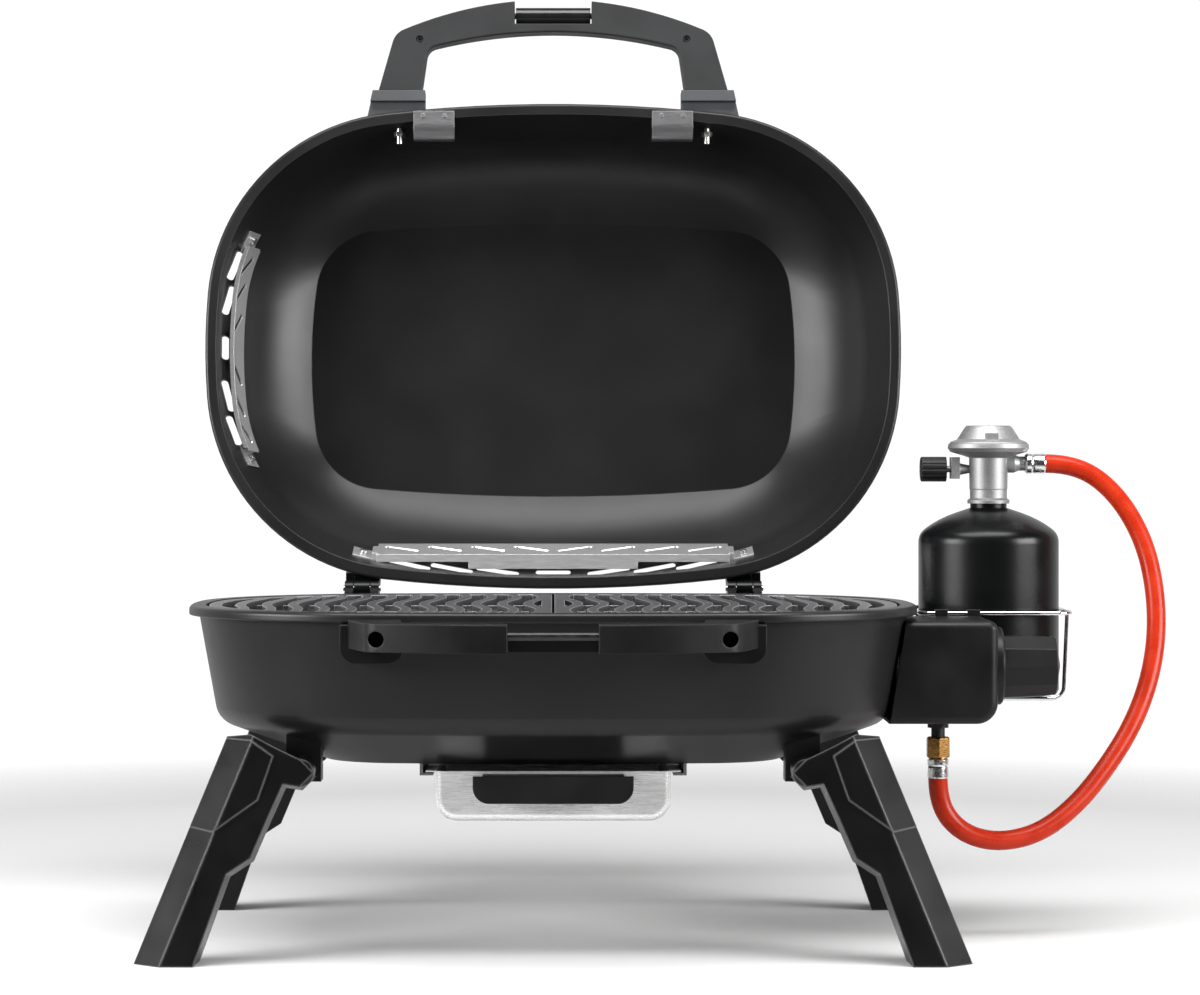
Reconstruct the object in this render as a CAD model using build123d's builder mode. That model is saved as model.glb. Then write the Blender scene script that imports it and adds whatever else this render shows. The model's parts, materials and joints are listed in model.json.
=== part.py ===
from build123d import *
import math
import os

# Portable one-burner gas grill with four folding legs, a lid on a back hinge, a carrying
# handle in two halves and a gas cartridge on the right-hand side.
# Millimetres. X to the right, Y to the back, Z up from the ground. Pieces are modelled about
# the middle of the firebox and, at the end, moved so that the footprint's middle is the origin.
# Lid pieces are modelled on the closed lid and swung open about the hinge by opened().

os.makedirs("parts", exist_ok=True)

# ---- driving dimensions ----
RIM_Z = 255.0  # top of the firebox rim above the ground
RIM_HALF_X = 277.5
RIM_HALF_Y = 192.5
RIM_CORNER = 155.0
RIM_LIP = 7.0  # height of the rolled rim
LONG_BOW = 27.0  # how far the long and the short sides bow out at the rim
SHORT_BOW = 29.0
SHEET = 2.5  # wall of the firebox and of the lid

BASE_Z = 140.0  # flat bottom of the firebox
BASE_HALF_X = 175.0
BASE_HALF_Y = 109.0
KNEE_Z = 168.6  # where the steep wall meets the sloping bottom
KNEE_HALF_X = 255.7
KNEE_HALF_Y = 170.7
KNEE_CORNER = 133.0
KNEE_RADIUS = 18.0

GRATE_TOP = RIM_Z - 0.5
GRATE_THICK = 8.0
GRATE_HALF_X = 262.5
GRATE_HALF_Y = 177.5
GRATE_CORNER = 140.0
BAR_PITCH = 20.0
BAR_WIDTH = 7.5
BAR_WAVE = 118.0  # half a wavelength
BAR_SWING = 5.0

LID_HALF_X = 287.5
LID_HALF_Y = 201.5
LID_RIM_Z = RIM_Z + 2.2  # underside of the closed lid's rim
LID_LIP = 8.0
LID_OPEN_ANGLE = 95.0
HINGE_Y = 201.2
HINGE_Z = LID_RIM_Z + 1.2
HINGE_X = 157.0

HANDLE_REACH = 289.5  # from the firebox's middle to the front of the grips
HANDLE_THICK = 20.0
NOTCH_HALF_X = 32.0
NOTCH_Y = -269.0
LATCH_Y = -277.0
LATCH_Z = 268.0
ROD_Z = 243.0
ROD_RADIUS = 2.5

LEG_PIVOT_X = 184.0
LEG_PIVOT_Z = 138.0
LEG_SPLAY = 9.2  # lean of a leg towards the middle, front to back
LEG_FOOT_Y = 186.0
LEG_DEPTH = 35.0
LEG_ROD_RADIUS = 4.0

TRAY_HALF_X = 87.0
TRAY_FRONT_Y = -112.0
TRAY_BACK_Y = 95.0
TRAY_BOTTOM = 98.0
TRAY_TOP = 135.0

VALVE_Y = -27.0
VALVE_Z = 208.0
INLET_X = 293.0

CARTRIDGE_X = 343.0
CARTRIDGE_Y = 75.0
CARTRIDGE_BOTTOM = 180.0
NECK_Z = 330.0
OUTLET_Z = 361.4

HOSE_RADIUS = 7.4
HOSE_ROUTE = [
    (387.5, 75, 361.4),
    (403, 75, 361.4),
    (427, 74, 352.5),
    (449, 70, 330),
    (465, 64, 298),
    (472, 55, 262),
    (471, 45, 226),
    (463, 34, 191),
    (448, 22, 158),
    (427, 10, 128),
    (403, -2, 101),
    (374, -13, 80),
    (343.5, -21, 73),
    (318, -25.5, 77.5),
    (300.5, -27, 91),
    (293, -27, 109.5),
    (293, -27, 122.5),
]

pieces = []


# ---- helpers ----
HINGE = Location((0, HINGE_Y, HINGE_Z))
OPENED = HINGE * Location((0, 0, 0), (-LID_OPEN_ANGLE, 0, 0)) * HINGE.inverse()


def opened(plane):
    """The plane of a closed-lid feature, swung open with the lid."""
    return Plane(OPENED * plane.location)


def upright(x, y):
    """A plane facing the front whose own y axis is a vertical line through x, y."""
    return Plane(origin=(x, y, 0), x_dir=(1, 0, 0), z_dir=(0, -1, 0))


def along_x(y, z):
    """A plane whose own y axis runs along +X through y, z."""
    return Plane(origin=(0, y, z), x_dir=(0, 0, 1), z_dir=(0, 1, 0))


def outline(plane, half_x, half_y, corner, bow=1.0):
    """A rectangle with bowed sides and round corners."""
    x = half_x - SHORT_BOW * bow
    y = half_y - LONG_BOW * bow
    with BuildSketch(plane) as shape:
        with BuildLine():
            ThreePointArc((-x, -y), (0, -half_y), (x, -y))
            ThreePointArc((x, -y), (half_x, 0), (x, y))
            ThreePointArc((x, y), (0, half_y), (-x, y))
            ThreePointArc((-x, y), (-half_x, 0), (-x, -y))
        make_face()
        fillet(shape.vertices(), corner)
    return shape.sketch


def lofted(sections, swing=False, ruled=False):
    """A solid through bowed outlines, each given as height, half x, half y, corner, bow."""
    faces = []
    for height, half_x, half_y, corner, bow in sections:
        plane = Plane.XY.offset(height)
        if swing:
            plane = opened(plane)
        faces.append(outline(plane, half_x, half_y, corner, bow))
    with BuildPart() as solid:
        loft(faces, ruled=ruled)
    return solid.part


def turned(points, plane):
    """A solid of revolution about the plane's y axis, from radius, height points."""
    with BuildPart() as solid:
        with BuildSketch(plane):
            with BuildLine():
                Polyline(*points, close=True)
            make_face()
        revolve(axis=Axis(plane.origin, plane.y_dir))
    return solid


def bar(start, end, radius):
    """A round bar between two points."""
    line = Vector(*end) - Vector(*start)
    with BuildPart() as solid:
        with BuildSketch(Plane(origin=start, z_dir=line)):
            Circle(radius)
        extrude(amount=line.length)
    return solid.part


def finished(piece, name):
    """Label a piece and keep it for writing."""
    piece.part.label = name
    pieces.append(piece.part)


# ---- firebox ----
def firebox_form(inset, lift):
    """The closed form of the firebox below its rim, or of its inside."""
    top = (RIM_Z - RIM_LIP + 2, 270.3 - inset, 185.3 - inset, 148 - inset, 1.0)
    knee = (KNEE_Z + lift * 0.7, KNEE_HALF_X - inset, KNEE_HALF_Y - inset, KNEE_CORNER - inset, 0.95)
    base = (BASE_Z + lift, BASE_HALF_X - inset * 0.3, BASE_HALF_Y - inset * 0.3, 60, 0.5)
    wall = lofted([knee, top], ruled=True)
    bottom = lofted([base, knee], ruled=True)
    with BuildPart() as form:
        add(wall)
        add(bottom)
        knee_edges = form.edges().filter_by_position(Axis.Z, knee[0] - 0.01, knee[0] + 0.01)
        fillet(knee_edges, KNEE_RADIUS - inset)
    return form.part


firebox_outside = firebox_form(0, 0)
firebox_inside = firebox_form(SHEET, SHEET)

with BuildPart() as grate_lugs:
    with Locations((0, 0, GRATE_TOP - GRATE_THICK - 7)):
        with Locations((-258, 70), (-258, -70), (258, 70), (258, -70)):
            Box(22, 22, 13.8)
        with Locations((-90, 173), (90, 173), (-90, -173), (90, -173)):
            Box(22, 22, 13.8)
    add(firebox_outside, mode=Mode.INTERSECT)

with BuildPart() as firebox:
    add(firebox_outside)
    add(firebox_inside, mode=Mode.SUBTRACT)
    add(grate_lugs.part)
    rim = outline(Plane.XY.offset(RIM_Z - RIM_LIP), RIM_HALF_X, RIM_HALF_Y, RIM_CORNER)
    extrude(rim, amount=RIM_LIP)
    fillet(firebox.faces().sort_by(Axis.Z)[-1].outer_wire().edges(), 3)
    fillet(firebox.faces().filter_by(Plane.XY).group_by(Axis.Z)[-2].edges().group_by(SortBy.LENGTH)[-1], 1)
    mouth = outline(Plane.XY.offset(GRATE_TOP - GRATE_THICK), 265, 180, 143)
    extrude(mouth, amount=20, mode=Mode.SUBTRACT)
    with Locations((0, 0, BASE_Z)):
        Cylinder(20, 12, mode=Mode.SUBTRACT)
    with BuildSketch(Plane.XY.offset(BASE_Z - 3)):
        with GridLocations(230, 110, 2, 2):
            SlotOverall(70, 8)
    extrude(amount=9, mode=Mode.SUBTRACT)
    with BuildSketch(Plane.YZ.offset(235)):
        with Locations((VALVE_Y, VALVE_Z)):
            Circle(13)
    extrude(amount=50, mode=Mode.SUBTRACT)
finished(firebox, "firebox")


# ---- cooking grates ----
def wavy_bar(x):
    """The outline of one wave-shaped bar running front to back."""
    reach = 1.5 * BAR_WAVE
    with BuildSketch() as shape:
        with BuildLine():
            for side in (-1, 1):
                edge = x + side * BAR_WIDTH / 2
                for step in range(3):
                    y = -reach + step * BAR_WAVE
                    swing = BAR_SWING if step % 2 else -BAR_SWING
                    ThreePointArc((edge, y), (edge + swing, y + BAR_WAVE / 2), (edge, y + BAR_WAVE))
            Line((x - BAR_WIDTH / 2, -reach), (x + BAR_WIDTH / 2, -reach))
            Line((x - BAR_WIDTH / 2, reach), (x + BAR_WIDTH / 2, reach))
        make_face()
    return shape.sketch


with BuildSketch() as grate_plan:
    for number in range(13):
        add(wavy_bar(14 + number * BAR_PITCH))
    add(outline(Plane.XY, GRATE_HALF_X, GRATE_HALF_Y, GRATE_CORNER), mode=Mode.INTERSECT)
    with BuildSketch(mode=Mode.PRIVATE) as ring:
        add(outline(Plane.XY, GRATE_HALF_X, GRATE_HALF_Y, GRATE_CORNER))
        add(outline(Plane.XY, GRATE_HALF_X - 9, GRATE_HALF_Y - 9, GRATE_CORNER - 9), mode=Mode.SUBTRACT)
    add(ring.sketch)
    with Locations((5, 0)):
        Rectangle(8, 2 * GRATE_HALF_Y - 6)
    with Locations((150, 0)):
        Rectangle(298, 2 * GRATE_HALF_Y + 20, mode=Mode.INTERSECT)

with BuildSketch(Plane.XY) as grate_ribs:
    with Locations((131, 55), (131, -55)):
        Rectangle(252, 5)

with BuildPart() as grate_right:
    extrude(Plane.XY.offset(GRATE_TOP - GRATE_THICK) * grate_plan.sketch, amount=GRATE_THICK)
    extrude(Plane.XY.offset(GRATE_TOP - GRATE_THICK) * grate_ribs.sketch, amount=GRATE_THICK / 2)
finished(grate_right, "grate_right")

with BuildPart() as grate_left:
    mirror(grate_right.part, about=Plane.YZ)
finished(grate_left, "grate_left")

# ---- burner ----
BURNER_HALF_X = 150.0
BURNER_HALF_Y = 50.0
TUBE_RADIUS = 9.0


def burner_ring(radius):
    """The racetrack loop of the burner as a bar of one radius."""
    x = BURNER_HALF_X
    y = BURNER_HALF_Y
    with BuildPart() as loop:
        with BuildLine(Plane.XY.offset(VALVE_Z)) as path:
            Line((-x, -y), (x, -y))
            ThreePointArc((x, -y), (x + y, 0), (x, y))
            Line((x, y), (-x, y))
            ThreePointArc((-x, y), (-x - y, 0), (-x, -y))
        with BuildSketch(Plane(origin=(-x, -y, VALVE_Z), z_dir=(1, 0, 0))):
            Circle(radius)
        sweep(path=path.wires()[0])
    return loop.part


with BuildPart() as burner_tube:
    add(burner_ring(TUBE_RADIUS))
    add(bar((185, VALVE_Y, VALVE_Z), (281.5, VALVE_Y, VALVE_Z), TUBE_RADIUS - 0.2))
    add(burner_ring(TUBE_RADIUS - 1.5), mode=Mode.SUBTRACT)
    add(bar((194, VALVE_Y, VALVE_Z), (281.6, VALVE_Y, VALVE_Z), TUBE_RADIUS - 1.6), mode=Mode.SUBTRACT)
    with BuildSketch(Plane.XY.offset(VALVE_Z)):
        with GridLocations(20, 2 * BURNER_HALF_Y, 15, 2):
            Circle(1.2)
    extrude(amount=12, mode=Mode.SUBTRACT)
finished(burner_tube, "burner_tube")

with BuildPart() as burner_bracket:
    with BuildSketch(Plane.YZ.offset(-214)):
        with Locations((0, (VALVE_Z + 155) / 2)):
            Rectangle(26, VALVE_Z + 14 - 155)
        with Locations((0, VALVE_Z)):
            Circle(TUBE_RADIUS + 0.3, mode=Mode.SUBTRACT)
    extrude(amount=2)
    with BuildSketch(Plane.XY.offset(VALVE_Z - TUBE_RADIUS - 2.2)):
        with Locations((-206, 0)):
            Rectangle(16, 26)
    extrude(amount=1.8)
    add(firebox_inside, mode=Mode.INTERSECT)
finished(burner_bracket, "burner_bracket")

HEAT_PLATE = [
    (-84, 221), (-42, 236), (42, 236), (84, 221),
    (84, 222.6), (42, 237.6), (-42, 237.6), (-84, 222.6),
]
with BuildPart() as heat_plate:
    with BuildSketch(Plane.YZ.offset(-195)):
        Polygon(*HEAT_PLATE, align=None)
    extrude(amount=390)
    with Locations((-188, -76, 190), (-188, 76, 190), (188, -76, 190), (188, 76, 190)):
        Box(14, 1.6, 71)
    with BuildSketch(Plane.XY.offset(230)):
        with GridLocations(60, 1, 5, 1):
            SlotOverall(50, 7, rotation=90)
    extrude(amount=12, mode=Mode.SUBTRACT)
finished(heat_plate, "heat_plate")

ELECTRODE_Z = VALVE_Z + 6
with BuildPart() as igniter_electrode:
    add(bar((240, 14.5, ELECTRODE_Z), (213, 11, ELECTRODE_Z), 3.2))
    add(bar((244, 15, ELECTRODE_Z), (200, 9.2, ELECTRODE_Z), 1.1))
    with Locations((225, -6, ELECTRODE_Z + 3.8)):
        Box(8, 44, 1.6)
    add(burner_ring(TUBE_RADIUS + 0.5), mode=Mode.SUBTRACT)
finished(igniter_electrode, "igniter_electrode")

# ---- drip tray and its rails ----
with BuildPart() as drip_tray:
    with Locations((0, (TRAY_FRONT_Y + TRAY_BACK_Y) / 2, (TRAY_TOP + TRAY_BOTTOM) / 2)):
        Box(2 * TRAY_HALF_X, TRAY_BACK_Y - TRAY_FRONT_Y, TRAY_TOP - TRAY_BOTTOM)
    fillet(drip_tray.edges().filter_by(Axis.Y).group_by(Axis.Z)[0], 16)
    fillet(drip_tray.edges().filter_by(Axis.Z), 5)
    offset(amount=-1.0, openings=drip_tray.faces().sort_by(Axis.Z)[-1])
    with Locations((0, (TRAY_FRONT_Y + TRAY_BACK_Y) / 2, TRAY_TOP - 0.6)):
        with Locations((-TRAY_HALF_X - 3.5, 0, 0), (TRAY_HALF_X + 3.5, 0, 0)):
            Box(8, TRAY_BACK_Y - TRAY_FRONT_Y - 12, 1.2)
finished(drip_tray, "drip_tray")

with BuildPart() as tray_handle:
    with BuildSketch(Plane.XZ.offset(-TRAY_FRONT_Y)):
        with Locations((0, TRAY_TOP - 5.5)):
            Rectangle(104, 7)
    extrude(amount=20)
    with BuildSketch(Plane.XZ.offset(-TRAY_FRONT_Y + 20)) as front_lip:
        with Locations((0, TRAY_TOP - 12)):
            Rectangle(118, 20)
        fillet(front_lip.vertices().group_by(Axis.Y)[0], 12)
    extrude(amount=4)
    fillet(tray_handle.edges().filter_by(Axis.X).sort_by(Axis.Z)[-1], 1.2)
finished(tray_handle, "drip_tray_handle")


def tray_rail(side):
    """A channel under the firebox that carries one flange of the tray."""
    profile = [(89, 131), (89, 132.8), (96.8, 132.8), (96.8, BASE_Z), (99, BASE_Z), (99, 131)]
    with BuildPart() as rail:
        with BuildSketch(Plane.XZ.offset(102)):
            Polygon(*[(side * x, z) for x, z in profile], align=None)
        extrude(amount=-196)
    return rail


finished(tray_rail(-1), "tray_rail_left")
finished(tray_rail(1), "tray_rail_right")


# ---- legs ----
def in_leg_plane(points, side):
    """Front-view points x, height of a leg, in the leaning plane of its front face."""
    stretch = 1 / math.cos(math.radians(LEG_SPLAY))
    return [(side * x, z * stretch) for x, z in points]


LEG_OUTLINE = [
    (305.2, 0),
    (259.5, 0),
    (236, 66),
    (219, 77),
    (207.5, 104),
    (196, 130),
    (184, 128),
    (174, 138),
    (184, 148),
    (203, 157),
    (220, 166),
    (238.5, 166),
]
LEG_CAP = [(264.6, 101), (246.5, 96), (214.3, 118.6), (203.5, 150), (220, 161.5), (238.7, 164.5)]


def leg_face(end, proud=0.0):
    """The leaning plane of a leg's front face, its own y axis running up the leg."""
    lean = math.radians(LEG_SPLAY)
    plane = Plane(
        origin=(0, end * LEG_FOOT_Y, 0),
        x_dir=(-end, 0, 0),
        z_dir=(0, end * math.cos(lean), math.sin(lean)),
    )
    return plane.offset(proud)


def leg_layer(points, side, end, proud, depth, bevel):
    """A slab of the leg with its outer front corner cut back to a slanting facet."""
    with BuildPart() as layer:
        with BuildSketch(leg_face(end, proud)):
            Polygon(*in_leg_plane(points, -end * side), align=None)
        extrude(amount=-depth)
        outer = layer.faces().filter_by(lambda f: abs(f.normal_at().X) > 0.85).sort_by(Axis.X)
        outer = outer[0] if side < 0 else outer[-1]
        front = layer.faces().sort_by(Axis.Y)[0 if end < 0 else -1]
        corner = [edge for edge in outer.edges() if edge in front.edges()]
        chamfer(corner, length=bevel, length2=18, reference=front)
    return layer.part


def leg(side, end):
    """One leg: side is -1 left or 1 right, end is -1 front or 1 back."""
    pivot = (side * LEG_PIVOT_X, LEG_PIVOT_Z)
    with BuildPart() as body:
        add(leg_layer(LEG_OUTLINE, side, end, 0, LEG_DEPTH, 19.5))
        add(leg_layer(LEG_CAP, side, end, 1.4, 24, 19.5))
        with BuildSketch(Plane.XZ.offset(-end * 129)):
            with Locations(pivot):
                Circle(10)
        extrude(amount=-end * 32)
        with BuildSketch(Plane.XZ.offset(-end * 120)):
            with Locations(pivot):
                Circle(LEG_ROD_RADIUS + 0.06)
        extrude(amount=-end * 34, mode=Mode.SUBTRACT)
        split(bisect_by=Plane.XY, keep=Keep.TOP)
    return body


for side, side_name in ((-1, "left"), (1, "right")):
    for end, end_name in ((-1, "front"), (1, "back")):
        finished(leg(side, end), f"leg_{end_name}_{side_name}")

with BuildPart() as leg_bearings:
    with Locations((0, 0, 146)):
        with GridLocations(2 * LEG_PIVOT_X, 216, 2, 2):
            Box(26, 24, 36)
    for side in (-1, 1):
        start = (side * LEG_PIVOT_X, -130, LEG_PIVOT_Z)
        stop = (side * LEG_PIVOT_X, 130, LEG_PIVOT_Z)
        add(bar(start, stop, LEG_ROD_RADIUS + 0.03), mode=Mode.SUBTRACT)
    add(firebox_outside, mode=Mode.SUBTRACT)
finished(leg_bearings, "leg_bearings")

with BuildPart() as leg_rods:
    for side in (-1, 1):
        start = (side * LEG_PIVOT_X, -153, LEG_PIVOT_Z)
        stop = (side * LEG_PIVOT_X, 153, LEG_PIVOT_Z)
        add(bar(start, stop, LEG_ROD_RADIUS))
finished(leg_rods, "leg_rods")


# ---- carrying handle ----
def arch(plane, rear_y, thickness):
    """The bowed grip that both halves of the handle share, flat on a plane."""
    with BuildPart() as solid:
        with BuildSketch(plane) as plan:
            with BuildLine():
                ThreePointArc((-131.5, -261), (0, -HANDLE_REACH), (131.5, -261))
                Polyline((131.5, -261), (145, -213), (147, rear_y))
                Polyline((147, rear_y), (-147, rear_y), (-145, -213), (-131.5, -261))
            make_face()
            fillet(plan.vertices().filter_by(lambda point: point.Y < -250), 16)
            with BuildLine() as opening:
                ThreePointArc((-104, -248.5), (0, -262), (104, -248.5))
                Polyline((104, -248.5), (109, -213), (109, rear_y + 5))
                Polyline((109, rear_y + 5), (-109, rear_y + 5), (-109, -213), (-104, -248.5))
            make_face(mode=Mode.SUBTRACT)
            fillet(plan.vertices().filter_by(lambda point: abs(point.Y + 248.5) < 0.1), 10)
            with Locations((0, NOTCH_Y - 20)):
                Rectangle(2 * NOTCH_HALF_X, 40, mode=Mode.SUBTRACT)
        extrude(amount=thickness)
    return solid.part


HANDLE_Z = 231.0
with BuildPart() as firebox_handle:
    add(arch(Plane.XY.offset(HANDLE_Z), -200, HANDLE_THICK))
    fillet(firebox_handle.faces().filter_by(Plane.XY).edges().group_by(SortBy.LENGTH)[-1], 1.5)
    with Locations((0, -264, HANDLE_Z + HANDLE_THICK)):
        Box(2 * NOTCH_HALF_X, 14, 22, mode=Mode.SUBTRACT)
    for side in (-1, 1):
        add(bar((side * 124, -300, 240), (side * 124, -236, 240), 5.6), mode=Mode.SUBTRACT)
    add(bar((-38, LATCH_Y, ROD_Z), (38, LATCH_Y, ROD_Z), ROD_RADIUS + 0.03), mode=Mode.SUBTRACT)
finished(firebox_handle, "firebox_handle")

with BuildPart() as handle_rod:
    add(bar((-37.5, LATCH_Y, ROD_Z), (37.5, LATCH_Y, ROD_Z), ROD_RADIUS))
finished(handle_rod, "handle_rod")


def handle_bracket(side):
    """The U-shaped foot that holds one end of the grip against the firebox wall."""
    with BuildPart() as bracket:
        with BuildSketch(Plane.XZ.offset(165)) as front:
            with Locations((side * 130, 233)):
                Rectangle(46, 28)
            fillet(front.vertices().group_by(Axis.Y)[0], 12)
        extrude(amount=35)
        add(firebox_outside, mode=Mode.SUBTRACT)
    return bracket


finished(handle_bracket(-1), "handle_bracket_left")
finished(handle_bracket(1), "handle_bracket_right")

with BuildPart() as handle_screws:
    with Locations((-112, -194.5, 248), (112, -194.5, 248)):
        Cylinder(3.4, 2)
    with Locations((-124, -236.7, 240), (124, -236.7, 240)):
        Cylinder(4.4, 1.4, rotation=(90, 0, 0))
finished(handle_screws, "handle_screws")

# ---- lid ----
LID_WALL = [(0, 278.5, 192.5, 156, 1.0), (55, 263.5, 177.5, 141, 0.95)]
LID_SHOULDER = [
    (55, 263.5, 177.5, 141, 0.95),
    (75, 253.7, 167.7, 129, 0.88),
    (95, 235, 149.5, 105, 0.7),
    (113, 206.5, 117.5, 55, 0.4),
]


def lid_form(grow, lift):
    """The closed form of the lid's inside, or grown by a wall to its outside."""
    def raised(sections, top_lift):
        rows = []
        for depth, half_x, half_y, corner, bow in sections:
            rise = top_lift if depth > 100 else 0
            rows.append((LID_RIM_Z + depth + rise, half_x + grow, half_y + grow, corner + grow, bow))
        return rows

    wall = lofted(raised(LID_WALL, 0), swing=True, ruled=True)
    shoulder = lofted(raised(LID_SHOULDER, lift), swing=True)
    with BuildPart() as form:
        add(wall)
        add(shoulder)
    return form.part


lid_outside = lid_form(SHEET + 0.3, SHEET)
lid_inside = lid_form(0, 0)

# vent slots seen along the lid's depth: x, y, length, width, turn
VENTS = [(0, 187, 29, 4.2, 0), (-272.8, 0, 20, 5, 90)]
for side in (-1, 1):
    VENTS += [(side * 46, 185.9, 36, 4.4, -10 * side)]
    VENTS += [(side * 84, 183.7, 36, 4.4, -12 * side)]
    VENTS += [(side * 119, 180.5, 36, 4.4, -14 * side)]
    VENTS += [(-270.4, side * 40, 26, 5, 90 - 13 * side)]
    VENTS += [(-265.4, side * 69, 26, 5, 90 - 20 * side)]

with BuildPart() as lid:
    lip = outline(opened(Plane.XY.offset(LID_RIM_Z)), LID_HALF_X, LID_HALF_Y, 165)
    extrude(lip, amount=LID_LIP)
    fillet(lid.edges().group_by(SortBy.LENGTH)[-1], 2.5)
    add(lid_outside)
    add(lid_inside, mode=Mode.SUBTRACT)
    with BuildSketch(opened(Plane.XY.offset(LID_RIM_Z + 9))):
        for x, y, length, width, slant in VENTS:
            with Locations((x, y)):
                SlotOverall(length, width, rotation=slant)
    extrude(amount=42, mode=Mode.SUBTRACT)
    for side in (-1, 1):
        with BuildSketch(opened(Plane.XZ.offset(230))):
            with Locations((side * 128, LID_RIM_Z + 13)):
                Circle(2.7)
        extrude(amount=-70, mode=Mode.SUBTRACT)
finished(lid, "lid")


# ---- lid hinges ----
def hinge_part(points, x_ranges, pin_clearance, swing):
    """A hinge leaf: its side view, y and height, extruded over each x range, round the pin."""
    with BuildPart() as leaf:
        for low, high in x_ranges:
            plane = Plane.YZ.offset(low)
            if swing:
                plane = opened(plane)
            with BuildSketch(plane):
                Polygon(*points, align=None)
                with Locations((HINGE_Y, HINGE_Z)):
                    Circle(6)
                    Circle(2.5 + pin_clearance, mode=Mode.SUBTRACT)
            extrude(amount=high - low)
    return leaf


FIXED_LEAF = [
    (176, 222), (176, 247), (184, 247), (184.5, 253), (194, 256.2),
    (196.5, 262), (207, 256), (205, 248), (183, 222),
]
MOVING_LEAF = [(196, 261), (207.2, 258), (206, 272), (191, 296), (181.5, 296), (188, 271)]
for side, side_name in ((-1, "left"), (1, "right")):
    middle = side * HINGE_X
    with BuildPart() as fixed_leaf:
        ears = hinge_part(FIXED_LEAF, [(middle - 14, middle - 7), (middle + 7, middle + 14)], 0.03, False)
        add(ears.part)
        with BuildSketch(Plane.YZ.offset(middle - 7)):
            Polygon((176, 222), (176, 244), (181, 244), (188, 236), (183, 222), align=None)
        extrude(amount=14)
        add(firebox_outside, mode=Mode.SUBTRACT)
    finished(fixed_leaf, f"lid_hinge_base_{side_name}")
    with BuildPart() as moving_leaf:
        knuckle = hinge_part(MOVING_LEAF, [(middle - 6.5, middle + 6.5)], 0.06, True)
        add(knuckle.part)
        with BuildSketch(opened(Plane.YZ.offset(middle - 14))):
            Polygon((205, 271), (206, 272), (191, 296), (181.5, 296), (188, 271), align=None)
        extrude(amount=28)
        add(lid_outside, mode=Mode.SUBTRACT)
    finished(moving_leaf, f"lid_hinge_leaf_{side_name}")

with BuildPart() as hinge_pins:
    for side in (-1, 1):
        start = (side * HINGE_X - 15.5, HINGE_Y, HINGE_Z)
        stop = (side * HINGE_X + 15.5, HINGE_Y, HINGE_Z)
        add(bar(start, stop, 2.5))
finished(hinge_pins, "lid_hinge_pins")

# ---- lid handle and latch ----
LID_HANDLE_Z = 259.0
LID_HANDLE_THICK = 18.0
with BuildPart() as lid_handle:
    add(arch(opened(Plane.XY.offset(LID_HANDLE_Z)), -213, LID_HANDLE_THICK))
    fillet(lid_handle.edges().group_by(SortBy.LENGTH)[-1], 1.5)
    for side in (-1, 1):
        with BuildSketch(opened(Plane.XY.offset(LID_HANDLE_Z - 1))):
            with Locations((side * 111, -256)):
                Circle(3)
        extrude(amount=4, mode=Mode.SUBTRACT)
    with BuildSketch(opened(Plane.YZ.offset(-38))):
        with Locations((LATCH_Y, LATCH_Z)):
            Circle(2.53)
    extrude(amount=76, mode=Mode.SUBTRACT)
finished(lid_handle, "lid_handle")

with BuildPart() as lid_handle_screws:
    for side in (-1, 1):
        with BuildSketch(opened(Plane.XY.offset(LID_HANDLE_Z + 1.2))):
            with Locations((side * 111, -256)):
                Circle(2.6)
                RegularPolygon(1.3, 6, mode=Mode.SUBTRACT)
        extrude(amount=1.8)
finished(lid_handle_screws, "lid_handle_screws")

with BuildPart() as latch_pin:
    with BuildSketch(opened(Plane.YZ.offset(-37.5))):
        with Locations((LATCH_Y, LATCH_Z)):
            Circle(2.5)
    extrude(amount=75)
finished(latch_pin, "latch_pin")

with BuildPart() as latch:
    with BuildSketch(opened(Plane.YZ.offset(-31))):
        with Locations((LATCH_Y, LATCH_Z)):
            Circle(7)
    extrude(amount=62)
    with BuildSketch(opened(Plane.YZ.offset(-15))):
        with Locations((LATCH_Y, LATCH_Z)):
            Polygon((3, 0), (6, 0), (6, 31), (0, 31), (0, 28.4), (3, 28.4), align=None)
    extrude(amount=30)
    with BuildSketch(opened(Plane.YZ.offset(-31))):
        with Locations((LATCH_Y, LATCH_Z)):
            Circle(2.56)
    extrude(amount=62, mode=Mode.SUBTRACT)
finished(latch, "handle_latch")

BASE_PLAN = [(156, -186), (150, -213), (106.5, -213), (106.5, -186)]
for side, side_name in ((-1, "left"), (1, "right")):
    with BuildPart() as handle_base:
        with BuildSketch(opened(Plane.XY.offset(258.5))):
            Polygon(*[(side * x, y) for x, y in BASE_PLAN], align=None)
        extrude(amount=22)
        with BuildSketch(opened(Plane.YZ.offset(-170))):
            lip_top = LID_RIM_Z + LID_LIP + 0.4
            Polygon((-204, 250), (-204, lip_top), (-150, lip_top), (-150, 250), align=None)
        extrude(amount=340, mode=Mode.SUBTRACT)
        add(lid_outside, mode=Mode.SUBTRACT)
        with BuildSketch(opened(Plane.XZ.offset(230))):
            with Locations((side * 128, LID_RIM_Z + 13)):
                Circle(2.7)
        extrude(amount=-70, mode=Mode.SUBTRACT)
    finished(handle_base, f"lid_handle_base_{side_name}")

with BuildPart() as handle_bolts:
    for side in (-1, 1):
        for sketch_y, radius, sides, length in ((197.5, 2.5, 0, 28), (179.5, 4.6, 6, 4)):
            with BuildSketch(opened(Plane.XZ.offset(sketch_y))):
                with Locations((side * 128, LID_RIM_Z + 13)):
                    if sides:
                        RegularPolygon(radius, sides)
                    else:
                        Circle(radius)
            extrude(amount=-length)
finished(handle_bolts, "handle_bolts")

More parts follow.
